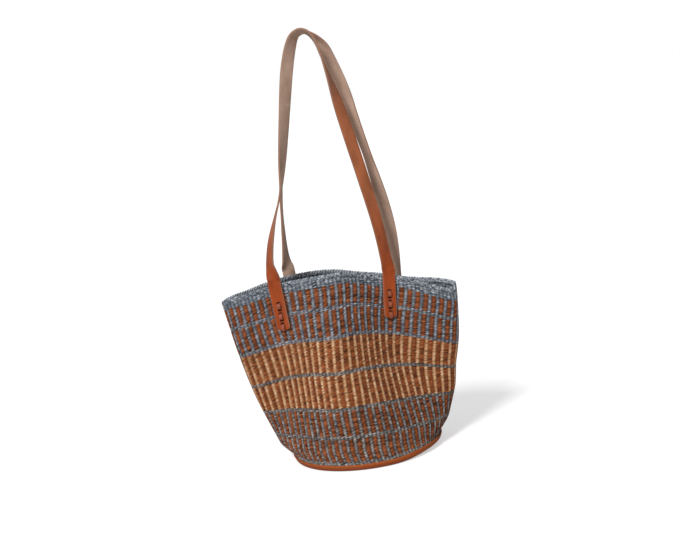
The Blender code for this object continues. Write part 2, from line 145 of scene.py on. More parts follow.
def pressedIn(x, up, frontShare):
    spread = np.where(x < press["place"], press["leftSpread"], press["rightSpread"])
    reach = np.exp(-((x - press["place"]) / spread) ** 2)
    return press["depth"] * up ** press["fade"] * reach * smoothStep(
        frontShare / press["endShare"])


def endRise(side, level, x):
    # How much higher the ends of the rim stand, at a place across the bag
    rise = rimRise
    front = rise["front"] * smoothStep((x - rise["frontPlace"]) / rise["frontSpread"])
    back = rise["back"] * smoothStep((x - rise["backPlace"]) / rise["backSpread"])
    left = rise["left"] * smoothStep((-x - rise["leftPlace"]) / rise["leftSpread"])
    atBack = smoothStep((side - rise["sideFrom"]) / rise["sideSpread"])
    up = smoothStep((level - rise["low"]) / (rise["high"] - rise["low"]))
    return up * (front + (back - front) * atBack + left)


def fullerEnds(way, level):
    # How far the two ends of the bag stand out beyond the even taper
    left = (ends["left"] * smoothStep((level - ends["leftFrom"]) / ends["leftRise"])
            - ends["leftBase"])
    left *= 1 - smoothStep((level - ends["leftFade"]) / ends["leftFadeRise"])
    right = ends["right"] * smoothStep((level - ends["rightFrom"]) / ends["rightRise"])
    right *= 1 - smoothStep((level - ends["rightFade"]) / ends["rightFadeRise"])
    return np.where(way > 0, right, -left) * way ** ends["power"]


def endReach(onRight, up):
    # How far an end of the bag reaches from its middle
    fullness = np.where(onRight, bag["rightFullness"], bag["leftFullness"])
    return bag["mouthHalf"] - (
        bag["mouthHalf"] - bag["baseRadius"]) * (1.0 - up) ** fullness


# Shape of the wall, for whole arrays of turns and levels at once. Turn is the angle round the
# bag, 0 at +X and counter-clockwise from above, and level the height at the mouth's middle.
def wallOutline(turn, level):
    up = np.clip(level / wallHeight, 0.0, 1.0)
    way = np.cos(turn)
    side = np.sin(turn)
    onRight = way > 0
    halfDepth = bag["mouthHalfDepth"] + (
        bag["baseRadius"] - bag["mouthHalfDepth"]) * (1.0 - up) ** bag["depthFullness"]
    x = bag["baseShift"] * (1.0 - up) + endReach(onRight, up) * way + fullerEnds(way, level)
    down = slide["down"] * smoothStep((-x - slide["from"]) / slide["reach"]) * np.exp(
        -((level - slide["level"]) / slide["spread"]) ** 2)
    x = x + slide["inwards"] * down
    y = halfDepth * side + np.copysign(bellyAt(x, up), side)
    y = y + np.where(side < 0, pressedIn(x, up, -side), 0.0)
    # The two ends of the mouth hang below its middle, and its back sags
    rising = np.clip((level - bag["flatHeight"]) / (wallHeight - bag["flatHeight"]), 0.0, 1.0)
    ease = np.where(side < 0, bag["frontEase"], bag["backEase"])
    share = (np.hypot(way, ease) - ease) / (np.hypot(1.0, ease) - ease)
    widening = np.clip((level - rimBottom) / (wallHeight - rimBottom), 0.0, 1.0)
    rightFall = (bag["rightDroop"] * rising - bag["rimWidening"] * widening) * share
    leftFall = bag["leftDroop"] * np.abs(way) ** bag["leftDroopPower"] * rising
    sagReach = np.exp(-((x - bag["backSagPlace"]) / bag["backSagSpread"]) ** 2)
    sag = bag["backSag"] * up ** bag["backSagFade"] * sagReach
    z = level - np.where(onRight, rightFall, leftFall)
    z = z - np.where(side < 0, 0.0, sag) + endRise(side, level, x) - down
    return np.stack([x, y, z], axis=-1)


def alongWall(turn, level):
    along = wallOutline(turn + turnStep, level) - wallOutline(turn - turnStep, level)
    return along / np.linalg.norm(along, axis=-1, keepdims=True)


def wallPoint(turn, level, depth):
    # A place at a depth below the outside of the wall
    along = alongWall(turn, level)
    inwards = np.stack([-along[..., 1], along[..., 0], np.zeros_like(along[..., 0])], axis=-1)
    inwards /= np.linalg.norm(inwards, axis=-1, keepdims=True)
    points = wallOutline(turn, level) + inwards * np.asarray(depth)[..., None]
    curl = ends["curl"] * smoothStep((points[..., 0] - ends["curlPlace"]) / ends["curlSpread"])
    points[..., 2] += curl * (1 - smoothStep(level / ends["curlFade"]))
    return points


# Twined weft: two strands that swap between the outside and the inside from warp to warp.
# Tones are the mean and the spread of the dye from stitch to stitch.
weave = {
    "warps": 124, "rowPitch": 2.2 * mm, "swing": 1.35 * mm, "lean": 0.62 * mm,
    "fullTall": 1.16 * mm, "fullThick": 0.95 * mm, "pinchedTall": 0.66 * mm,
    "pinchedThick": 1.05 * mm, "sides": 5, "steps": 4, "rowShade": 0.35, "innerShade": 0.42,
    "innerFrom": -0.3, "shadeFrom": 0.9, "columnShade": 0.25, "baseShade": 0.45,
    "baseShadeRows": 2, "rowTone": 0.04, "greyerCourses": 7, "fibreRun": 0.0065,
    "fibreShift": 7.3,
    "tones": {"rust": (0.41, 0.17), "blue": (0.42, 0.16), "greyer": (0.42, 0.16),
              "straw": (0.5, 0.13)},
}

# For each pattern its two strands, how much wider the first one's stitches lie, and its slot
patterns = {
    "blue": {"strands": ("blue", "blue"), "widen": 0.0, "slot": "blue_sisal"},
    "blueColumns": {"strands": ("rust", "blue"), "widen": 0.2, "slot": "rust_and_blue_sisal"},
    "strawColumns": {"strands": ("rust", "straw"), "widen": 0.08,
                     "slot": "rust_and_natural_sisal"},
}

# Straps: share of the half span, share of the way up, and turn of the grain side in degrees,
# which is 90 where the grain faces the front and 0 where it faces out of the loop
frontStrapShares = (
    (-1, 0, 90), (-1.004, 0.012, 80), (-1.015, 0.04, 52), (-1.02, 0.075, 32),
    (-0.975, 0.138, 25), (-0.905, 0.198, 16), (-0.82, 0.258, 5), (-0.725, 0.318, 0),
    (-0.655, 0.37, -5), (-0.605, 0.43, -19), (-0.55, 0.5, -33), (-0.455, 0.62, -46),
    (-0.395, 0.695, -52), (-0.34, 0.765, -60), (-0.28, 0.835, -66), (-0.215, 0.895, -62),
    (-0.15, 0.943, -54), (-0.08, 0.978, -42), (0.01, 0.997, -26), (0.09, 1, -16),
    (0.175, 0.99, -12), (0.245, 0.97, -9), (0.3, 0.94, -5), (0.35, 0.89, 0),
    (0.447, 0.79, 22), (0.55, 0.67, 54), (0.662, 0.535, 64), (0.732, 0.45, 64),
    (0.806, 0.355, 62), (0.856, 0.29, 60), (0.906, 0.218, 58), (0.948, 0.14, 55),
    (0.976, 0.07, 56), (0.993, 0.03, 66), (0.998, 0.01, 82), (1, 0, 90),
)
backStrapShares = (
    (-1, 0, -90), (-1.004, 0.01, -78), (-1.012, 0.034, -42), (-1.013, 0.065, -26),
    (-1.003, 0.115, -15), (-0.988, 0.175, -9), (-0.968, 0.24, -4), (-0.94, 0.31, -5),
    (-0.87, 0.42, -8), (-0.78, 0.515, -18), (-0.695, 0.615, -24), (-0.565, 0.765, -26),
    (-0.45, 0.88, -26), (-0.35, 0.945, -24), (-0.25, 0.982, -18), (-0.15, 0.996, -12),
    (-0.05, 0.996, -8), (0.06, 0.982, -14), (0.16, 0.958, -30), (0.24, 0.925, -56),
    (0.312, 0.878, -78), (0.395, 0.825, -80), (0.47, 0.772, -70), (0.535, 0.718, -60),
    (0.592, 0.66, -50), (0.67, 0.585, -40), (0.733, 0.525, -36), (0.78, 0.478, -35),
    (0.852, 0.4, -46), (0.92, 0.32, -60), (0.975, 0.24, -74), (1.008, 0.17, -83),
    (1.018, 0.1, -86), (1.012, 0.045, -88), (1, 0, -90),
)

sideWords = {-1: "front", 1: "back"}
handWords = {-1: "_left", 1: "_right"}

strap = {
    "width": 21 * mm, "thickness": 3 * mm, "edge": 0.8 * mm, "apexHeight": 0.6842,
    "apexApart": 0.023, "bendRise": 0.008, "rest": 1.1 * mm,
    "ends": {-1: 0.08, 1: 0.074},
    "lean": 0.007, "corner": 4.5 * mm, "cornerSteps": 7, "endSteps": 32, "steps": 6, "columns": 4,
    "edgeBends": (30.0, 60.0), "edgeBlend": 0.5 * mm, "edgeInset": 0.6 * mm, "smooth": 40.0,
    -1: {"place": -0.0078, "span": 0.1835, "shares": frontStrapShares},
    1: {"place": 0.0095, "span": 0.173, "shares": backStrapShares},
}

lacing = {
    "width": 6.6 * mm, "thickness": 1.8 * mm, "edge": 0.7 * mm, "crown": 1.6 * mm,
    "tail": 12 * mm, "lastHole": 9.0 * mm, "stitchLength": 10.4 * mm, "stitchApart": 6.4 * mm,
    "belowEnd": 2.6 * mm, "holeHalf": 3.7 * mm, "holeTall": 2.4 * mm, "holeInset": 0.9 * mm,
    "holeSides": 20, "holeReach": 2.4, "wallFacing": 0.6, "sunk": 0.6 * mm,
    "crownShares": (0.2, 0.35, 0.5, 0.65, 0.8), "cutRounds": 2, "cutShare": 0.25, "smooth": 50.0,
}

baseCup = {
    "sole": 3.0 * mm, "lipThickness": 2.5 * mm, "lipHeight": 9.0 * mm, "soleEdge": 3.6 * mm,
    "lipEdge": 0.8 * mm, "grooveLines": (0.005, 0.0054, 0.0061, 0.0065), "grooveDeep": 0.4 * mm,
    "grooveMargin": 0.1 * mm, "ripple": 0.25 * mm, "rippleWidth": 3.0 * mm, "margin": 0.2 * mm,
    "soleSegments": 5, "lipSegments": 3, "smooth": 40.0, "stitchHalf": 2.2 * mm,
    "threadRadius": 0.4 * mm, "threadRaised": 0.2 * mm,
}

braid = {
    "turns": 62, "steps": 12, "sides": 7, "swing": 2.0 * mm, "lift": 0.9 * mm, "tilt": 0.1,
    "tall": 1.5 * mm, "thick": 1.2 * mm, "tones": (0.52, 0.36, 0.22), "toneSpread": 0.14,
    "innerPaintedLight": 0.3, "innerFrom": -0.3, "fibreRun": 0.013, "seed": 500,
}

warp = {
    "sides": 6, "steps": 40, "radius": 1.25 * mm, "tone": 0.2, "fibreRun": 0.3,
    "fibreAround": 0.01,
}

floorWeave = {
    "around": 248, "rings": 14, "steps": 4, "knuckles": 62, "hole": 0.5 * mm, "gap": 0.8 * mm,
    "rise": 3.5 * mm, "ringTall": 0.8 * mm, "knuckleTall": 0.7 * mm, "tone": (0.25, 0.1),
    "cells": 200, "fibreRun": 0.1, "fibreAround": 100, "seed": 77,
}


# Ribs stand evenly round the bag, so each level has its own turns for them
def makeRibTurns():
    levels = np.linspace(0.0, wallHeight, 61)
    turns = np.linspace(0.0, 2 * math.pi, 1441)
    shares = np.linspace(0.0, 1.0, weave["warps"] * 4 + 1)
    table = []
    for level in levels:
        points = wallOutline(turns, np.full_like(turns, level))
        runs = np.linalg.norm(np.diff(points, axis=0), axis=1)
        length = np.concatenate([[0.0], np.cumsum(runs)])
        table.append(np.interp(shares, length / length[-1], turns))
    return levels, shares, np.array(table)


ribLevels, ribShares, ribTable = makeRibTurns()


def ribTurn(warpPlace, level):
    # Which turn a place counted in warps has at a level
    share = np.mod(warpPlace / weave["warps"], 1.0) * (len(ribShares) - 1)
    rise = np.clip(level / ribLevels[-1], 0.0, 1.0) * (len(ribLevels) - 1)
    column = np.minimum(share.astype(int), len(ribShares) - 2)
    row = np.minimum(rise.astype(int), len(ribLevels) - 2)
    across = share - column
    up = rise - row
    low = ribTable[row, column] * (1 - across) + ribTable[row, column + 1] * across
    high = ribTable[row + 1, column] * (1 - across) + ribTable[row + 1, column + 1] * across
    return low * (1 - up) + high * up


def hexToLinear(code):
    # sRGB hex to the linear values that a shader takes
    values = [int(code[i:i + 2], 16) / 255 for i in (1, 3, 5)]
    return [v / 12.92 if v <= 0.04045 else ((v + 0.055) / 1.055) ** 2.4 for v in values] + [1.0]


def addNode(material, kind, inputs=None, **settings):
    # A node with its settings. An input is a value, or a node for that node's first output, or
    # (node, output).
    node = material.node_tree.nodes.new("ShaderNode" + kind)
    for name, value in settings.items():
        setattr(node, name, value)
    for name, value in (inputs or {}).items():
        if isinstance(value, bpy.types.Node):
            value = (value, 0)
        if isinstance(value, tuple) and isinstance(value[0], bpy.types.Node):
            material.node_tree.links.new(value[0].outputs[value[1]], node.inputs[name])
        else:
            node.inputs[name].default_value = value
    return node


def newMaterial(name):
    material = bpy.data.materials.new(name)
    material.use_nodes = True
    material.node_tree.nodes.clear()
    return material


def addRamp(material, share, stops):
    # A colour ramp, with its stops given as place and colour
    ramp = addNode(material, "ValToRGB", {"Fac": share})
    elements = ramp.color_ramp.elements
    for index, (place, code) in enumerate(stops):
        stop = elements[index] if index < 2 else elements.new(place)
        stop.position = place
        stop.color = hexToLinear(code)
    return ramp


def addMix(material, share, low, high):
    # A mix of two colours, each of them a hex code or what a node gives
    low, high = (hexToLinear(colour) if isinstance(colour, str) else colour
                 for colour in (low, high))
    mix = addNode(material, "Mix", {"Factor": share, 6: low, 7: high}, data_type="RGBA")
    return mix, 2


def addSurface(material, inputs):
    # The shader and its output. Fibre, leather and wax all bend light by about 1.5.
    shader = addNode(material, "BsdfPrincipled", {"IOR": 1.5, **inputs})
    addNode(material, "OutputMaterial", {"Surface": shader})
    return material


# Sisal: two-ply twisted leaf fibre, dull, hairy and slightly glossy along the fibre. Every
# stitch takes the dye a little differently, and the fibres show as streaks along the strand.
# The stitch tone also carries painted shade in the gaps between rows and columns, and painted
# light on the plait's inner side.
def sisalMaterial(name, pale, middle, dark):
    material = newMaterial(name)
    tone = addNode(material, "Attribute", attribute_name="stitchToneAndShading")
    strand = addNode(material, "UVMap", uv_map="strandLay")
    # A fibre is 0.2 mm wide. It is drawn 0.5 mm wide, so that it shows.
    fibres = addNode(material, "Mapping", {"Vector": strand, "Scale": (160.0, 9.0, 1.0)})
    streaks = addNode(material, "TexNoise", {
        "Vector": fibres, "Scale": 1.0, "Detail": 2.0}, noise_dimensions="2D")
    streaked = addNode(material, "Math", {
        0: streaks, 1: 0.55, 2: (tone, "Fac")}, operation="MULTIPLY_ADD")
    colours = addRamp(material, streaked, ((0.22, dark), (0.62, middle), (1.0, pale)))
    bump = addNode(material, "Bump", {"Height": streaks, "Strength": 0.5, "Distance": 0.0004})
    return addSurface(material, {
        "Base Color": colours, "Roughness": 0.8, "Specular IOR Level": 0.2,
        "Sheen Weight": 0.05, "Sheen Roughness": 0.5, "Normal": bump})


sisal = {
    "rust": sisalMaterial("rustDyedSisal", "#b9693c", "#8d4820", "#42200c"),
    "blue": sisalMaterial("blueDyedSisal", "#b9bdc4", "#7c838b", "#343e4b"),
    "greyer": sisalMaterial("greyerBlueSisal", "#b9b3ad", "#7e7c7b", "#363639"),
    "straw": sisalMaterial("naturalSisal", "#ecc8a2", "#c78f60", "#703f22"),
}


# Vegetable-tanned leather: a waxed, slightly wrinkled grain side, a napped flesh side with
# short fibres, pale cut edges, and holes whose walls are painted near black as painted shade
# inside them
def strapLeather(name, grainStops, fleshPale, fleshDark, edgeColour):
    material = newMaterial(name)
    lay = addNode(material, "UVMap", uv_map="leatherLay")
    side, edge, hole = (
        (addNode(material, "Attribute", attribute_name=attribute), "Fac")
        for attribute in ("grainSide", "cutEdge", "paintedHoleShade"))
    stretched = addNode(material, "Mapping", {"Vector": lay, "Scale": (22.0, 60.0, 1.0)})
    clouds = addNode(material, "TexNoise", {
        "Vector": stretched, "Scale": 1.0, "Detail": 4.0, "Roughness": 0.55},
        noise_dimensions="2D")
    # Pores of leather are 0.1 to 0.2 mm across. They are drawn 0.9 mm apart, so that they show.
    pores = addNode(material, "TexVoronoi", {
        "Vector": lay, "Scale": 1100.0}, voronoi_dimensions="2D")
    nap = addNode(material, "TexNoise", {
        "Vector": lay, "Scale": 900.0, "Detail": 3.0}, noise_dimensions="2D")
    # The grain runs paler and greyer from its laced end to the top of the loop
    run = addNode(material, "SeparateXYZ", {"Vector": lay})
    reach = addNode(material, "MapRange", {"Value": run, "From Max": 0.5})
    cloudy = addNode(material, "MapRange", {
        "Value": clouds, "From Min": 0.3, "From Max": 0.7, "To Min": 0.8, "To Max": 1.2})
    grain = addNode(material, "VectorMath", {
        "Vector": addRamp(material, reach, grainStops), "Scale": cloudy}, operation="SCALE")
    rough = addNode(material, "Math", {0: nap, 1: 0.6, 2: clouds}, operation="MULTIPLY_ADD")
    napShare = addNode(material, "MapRange", {
        "Value": rough, "From Min": 0.45, "From Max": 1.15})
    flesh = addMix(material, napShare, fleshDark, fleshPale)
    faces = addMix(material, side, flesh, grain)
    whole = addMix(material, edge, faces, edgeColour)
    dull = addNode(material, "MapRange", {"Value": side, "To Min": 0.92, "To Max": 0.46})
    relief = addNode(material, "Math", {0: pores, 1: 0.35, 2: rough}, operation="MULTIPLY_ADD")
    bump = addNode(material, "Bump", {"Height": relief, "Strength": 0.35, "Distance": 0.0003})
    # Painted shade: the walls of the holes are mixed to near black
    return addSurface(material, {
        "Base Color": addMix(material, hole, whole, "#2c0c04"), "Roughness": dull,
        "Specular IOR Level": 0.25, "Sheen Weight": 0.05, "Normal": bump})


# Thick sole leather, scuffed, darker below its groove
def baseLeather(name, pale, dark, low):
    material = newMaterial(name)
    where = (addNode(material, "TexCoord"), "Object")
    clouds = addNode(material, "TexNoise", {
        "Vector": where, "Scale": 55.0, "Detail": 5.0, "Roughness": 0.6})
    scuffs = addNode(material, "TexNoise", {"Vector": where, "Scale": 420.0, "Detail": 3.0})
    split = addNode(material, "SeparateXYZ", {"Vector": where})
    height = addNode(material, "MapRange", {
        "Value": (split, "Z"), "From Min": 0.0048, "From Max": 0.0062})
    tan = addMix(material, clouds, dark, pale)
    bump = addNode(material, "Bump", {"Height": scuffs, "Strength": 0.3, "Distance": 0.0004})
    return addSurface(material, {
        "Base Color": addMix(material, height, low, tan), "Roughness": 0.55,
        "Specular IOR Level": 0.25, "Normal": bump})


leather = {
    # Waxed linen thread
    "thread": addSurface(newMaterial("waxedThread"), {
        "Base Color": hexToLinear("#8a4a28"), "Roughness": 0.6}),
    "strap": strapLeather(
        "vegetableTannedStrap",
        ((0.15, "#943e10"), (0.40, "#a05a36"), (0.75, "#a05e3c"), (0.98, "#ab8268")),
        "#c3a491", "#9a7c6b", "#99705a"),
    "thong": strapLeather(
        "lacingThong", ((0.0, "#924e36"), (1.0, "#8a4530")), "#8f6c54", "#644432", "#6a3623"),
    "base": baseLeather("soleLeather", "#a8551f", "#944516", "#843c16"),
}


def onlyObject(thing):
    bpy.ops.object.select_all(action="DESELECT")
    thing.select_set(True)
    bpy.context.view_layer.objects.active = thing


def applyAll(thing):
    onlyObject(thing)
    for modifier in list(thing.modifiers):
        bpy.ops.object.modifier_apply(modifier=modifier.name)


def openTube(name, sides, axis, steps=1):
    # An open tube of radius 1 and length 1 from the origin along an axis, cut into even steps
    turned = {"X": (0, math.pi / 2, 0), "Y": (math.pi / 2, 0, 0), "Z": (0, 0, 0)}[axis]
    along = Vector([float(letter == axis) for letter in "XYZ"])
    bpy.ops.mesh.primitive_cylinder_add(
        vertices=sides, radius=1.0, depth=1.0, end_fill_type="NOTHING", location=along / 2,
        rotation=turned)
    tube = bpy.context.object
    tube.name = name
    bpy.ops.object.transform_apply(location=True, rotation=True, scale=True)
    bpy.ops.object.mode_set(mode="EDIT")
    cutAcross(along, [step / steps for step in range(1, steps)])
    bpy.ops.object.mode_set(mode="OBJECT")
    return tube


def cutAcross(axis, places):
    # Cuts the mesh that is being edited, at places along an axis
    for place in places:
        bpy.ops.mesh.select_all(action="SELECT")
        bpy.ops.mesh.bisect(plane_co=axis * place, plane_no=axis)


def repeat(thing, count, offset, join=0.0):
    # An array of copies, joined where their ends lie closer than a length
    array = thing.modifiers.new("repeat", "ARRAY")
    array.count = count
    array.use_relative_offset = False
    array.use_constant_offset = True
    array.constant_offset_displace = offset
    if join:
        array.use_merge_vertices = True
        array.merge_threshold = join


def readPoints(thing):
    points = np.empty(len(thing.data.vertices) * 3)
    thing.data.vertices.foreach_get("co", points)
    return points.reshape(-1, 3)


def writePoints(thing, points):
    thing.data.vertices.foreach_set("co", points.astype(np.float32).ravel())
    thing.data.update()


def addValues(thing, name, values):
    # One value for every point, which the material reads
    thing.data.attributes.new(name, "FLOAT", "POINT").data.foreach_set(
        "value", np.asarray(values, dtype=np.float32))


def addLay(thing, name, along, across):
    # A UV map from two values for every point
    mesh = thing.data
    layer = mesh.uv_layers.new(name=name)
    loopPoints = np.empty(len(mesh.loops), dtype=np.int32)
    mesh.loops.foreach_get("vertex_index", loopPoints)
    lay = np.stack([along[loopPoints], across[loopPoints]], axis=1)
    layer.data.foreach_set("uv", lay.astype(np.float32).ravel())


def faceOutwards(thing, join=0.0):
    # Turns the faces outwards, once points closer than a length are joined
    onlyObject(thing)
    bpy.ops.object.mode_set(mode="EDIT")
    bpy.ops.mesh.select_all(action="SELECT")
    if join:
        bpy.ops.mesh.remove_doubles(threshold=join)
    bpy.ops.mesh.normals_make_consistent(inside=False)
    bpy.ops.object.mode_set(mode="OBJECT")


def dressStrand(thing, tones, run, around):
    # The tone of every stitch, and a lay of the fibres along and around the strand
    addValues(thing, "stitchToneAndShading", tones)
    addLay(thing, "strandLay", run, around)
    faceOutwards(thing, joinBent)
    bpy.ops.object.shade_smooth()


def twinedStrand(name, low, height, rows, lead, widen, tone, seed):
    # Straight flat strands, one crossing one warp repeated round the bag and up its rows, become
    # twined weft. Lead 0 and 1 are the two strands of a pair.
    sheet = openTube(name, weave["sides"], "X", weave["steps"])
    repeat(sheet, weave["warps"], (1, 0, 0), joinFlat)
    repeat(sheet, rows, (0, 0, apart))
    applyAll(sheet)
    flat = readPoints(sheet)
    row = np.round(flat[:, 2] / apart)
    around = flat[:, 0]
    upright = flat[:, 2] - row * apart
    swing = np.pi * (around + lead)
    full = np.abs(np.cos(swing))
    tall = weave["pinchedTall"] + (weave["fullTall"] - weave["pinchedTall"]) * full
    thick = weave["pinchedThick"] + (weave["fullThick"] - weave["pinchedThick"]) * full
    outwards = weave["swing"] * np.cos(swing) - flat[:, 1] * thick
    level = low + height * (row + 0.5) / rows + weave["lean"] * np.sin(swing)
    level += upright * tall
    turn = ribTurn(around + widen / np.pi * np.sin(np.pi * around), level)
    writePoints(sheet, wallPoint(turn, level, bag["wall"] / 2 - outwards))
    # Each stitch has a tone of its own, and each row a little of one
    random = np.random.default_rng(seed)
    stitchTones = random.normal(*tone, (rows, weave["warps"] + 1))
    stitchTones += random.normal(0.0, weave["rowTone"], (rows, 1))
    stitchTones[:, -1] = stitchTones[:, 0]
    tones = stitchTones[row.astype(int), np.round(around).astype(int)]
    # The gaps between rows and between columns lie in shade
    edges = np.abs(upright) > weave["shadeFrom"]
    shade = np.where(
        np.cos(swing) < weave["innerFrom"], weave["innerShade"], weave["rowShade"])
    tones -= shade * edges + weave["columnShade"] * (1 - full)
    if lead == 1 and low == bag["wallBottom"]:
        # Just above the leather the weft between the ribs lies in its shade
        tones -= weave["baseShade"] * np.clip(weave["baseShadeRows"] - row, 0, 1)
    dressStrand(
        sheet, tones, (around + row * weave["fibreShift"]) * weave["fibreRun"],
        np.arctan2(flat[:, 1], upright) / (2 * np.pi))
    return sheet


def finishPiece(thing, material, nodes, body="root"):
    thing.data.materials.clear()
    thing.data.materials.append(material)
    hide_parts(*nodes)
    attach(thing, body)
    return thing


def weaveWall():
    low = bag["wallBottom"]
    for index, (name, height, pattern) in enumerate(courses):
        step = height + bag["clearance"]
        rows = max(2, round(step / weave["rowPitch"]))
        for lead, colour in enumerate(patterns[pattern]["strands"]):
            # The blue of the courses near the base is another batch, a little greyer
            if colour == "blue" and index < weave["greyerCourses"]:
                colour = "greyer"
            strand = twinedStrand(
                name + "_weft" + "AB"[lead], low, step, rows, lead, patterns[pattern]["widen"],
                weave["tones"][colour], index * 2 + lead)
            finishPiece(strand, sisal[colour], [name])
        low += step
        print("woven", name, "rows", rows)


# The warps are the stiff ribs inside the twining
def addWarps():
    warps = openTube("warps", warp["sides"], "Z", warp["steps"])
    repeat(warps, weave["warps"], (apart, 0, 0))
    applyAll(warps)
    flat = readPoints(warps)
    index = np.round(flat[:, 0] / apart)
    level = bag["wallBottom"] + flat[:, 2] * (braidBottom - bag["wallBottom"])
    turn = ribTurn(index, level)
    depth = bag["wall"] / 2 - flat[:, 1] * warp["radius"]
    aside = (flat[:, 0] - apart * index) * warp["radius"]
    points = wallPoint(turn, level, depth) + alongWall(turn, level) * aside[:, None]
    writePoints(warps, points)
    dressStrand(warps, np.full(len(flat), warp["tone"]), flat[:, 2] * warp["fibreRun"],
                flat[:, 1] * warp["fibreAround"])
    finishPiece(warps, sisal["straw"], [course[0] for course in courses])
    print("warps stand")


# The rim is plaited from three strands over the cut ends of the warps
def addRimBraid():
    for strand in range(3):
        plait = openTube("rim_braid_strand_" + str(strand + 1), braid["sides"], "X")
        repeat(plait, braid["turns"] * braid["steps"], (1, 0, 0), joinFlat)
        applyAll(plait)
        flat = readPoints(plait)
        place = flat[:, 0] / braid["steps"]
        swing = 2 * np.pi * (place + strand / 3)
        # The plait lies on the rim with its outer edge a little lower
        rise = braid["swing"] * np.sin(swing)
        outwards = braid["lift"] * np.sin(2 * swing)
        lean = braid["tilt"]
        up = rise * math.cos(lean) + outwards * math.sin(lean)
        out = outwards * math.cos(lean) - rise * math.sin(lean)
        level = braidBottom + bag["braidHeight"] / 2 + up + flat[:, 2] * braid["tall"]
        depth = bag["wall"] / 2 - out - flat[:, 1] * braid["thick"]
        turn = ribTurn(place / braid["turns"] * weave["warps"], level)
        writePoints(plait, wallPoint(turn, level, depth))
        random = np.random.default_rng(braid["seed"] + strand)
        tones = random.normal(
            braid["tones"][strand], braid["toneSpread"], braid["turns"] * 2 + 1)
        tones[-1] = tones[0]
        # Painted light: the inner side of the plait is made paler than its outer side, to stand
        # for light falling on it
        inner = flat[:, 1] < braid["innerFrom"]
        tones = tones[np.round(place * 2).astype(int)] + braid["innerPaintedLight"] * inner
        dressStrand(plait, tones, place * braid["fibreRun"],
                    np.arctan2(flat[:, 1], flat[:, 2]) / (2 * np.pi))
        finishPiece(plait, sisal["blue"], ["rim_braid"])
    print("rim plaited")


# Round woven bottom, coiled rows seen from above through the mouth
def addWovenFloor():
    rings = floorWeave["rings"]
    disc = openTube("woven_floor", floorWeave["around"], "Z", rings * floorWeave["steps"])
    flat = readPoints(disc)
    angle = np.arctan2(flat[:, 1], flat[:, 0])
    ring = flat[:, 2] * rings
    radius = floorWeave["hole"] + flat[:, 2] * (
        bag["baseRadius"] - bag["wall"] - floorWeave["gap"])
    bump = 0.5 - 0.5 * np.cos(2 * np.pi * ring)
    knuckle = 0.5 + 0.5 * np.cos(angle * floorWeave["knuckles"] + np.pi * np.floor(ring))
    height = bag["wallBottom"] + floorWeave["rise"] + bump * (
        floorWeave["ringTall"] + floorWeave["knuckleTall"] * knuckle)
    writePoints(disc, wallPoint(angle, height, bag["baseRadius"] - radius))
    random = np.random.default_rng(floorWeave["seed"])
    tones = random.normal(*floorWeave["tone"], (rings + 1, floorWeave["cells"]))
    cell = np.round((angle / (2 * np.pi) + 0.5) * floorWeave["knuckles"]).astype(int)
    dressStrand(disc, tones[np.floor(ring).astype(int), cell], angle * floorWeave["fibreRun"],
                radius * floorWeave["fibreAround"])
    finishPiece(disc, sisal["straw"], ["woven_floor"])
    print("floor woven", len(flat))


def selectPoints(mesh, wanted):
    # Selects points in object mode, for the operators that follow in edit mode
    mesh.polygons.foreach_set("select", np.zeros(len(mesh.polygons), dtype=bool))
    mesh.edges.foreach_set("select", np.zeros(len(mesh.edges), dtype=bool))
    mesh.vertices.foreach_set("select", wanted)


def bevelWhere(thing, test, width, segments):
    # Bevels the edges whose points all pass a test
    selectPoints(thing.data, test(readPoints(thing)))
    bpy.ops.object.mode_set(mode="EDIT")
    bpy.ops.mesh.select_mode(type="VERT")
    bpy.ops.mesh.bevel(offset=width, segments=segments, profile=0.5, affect="EDGES")
    bpy.ops.object.mode_set(mode="OBJECT")


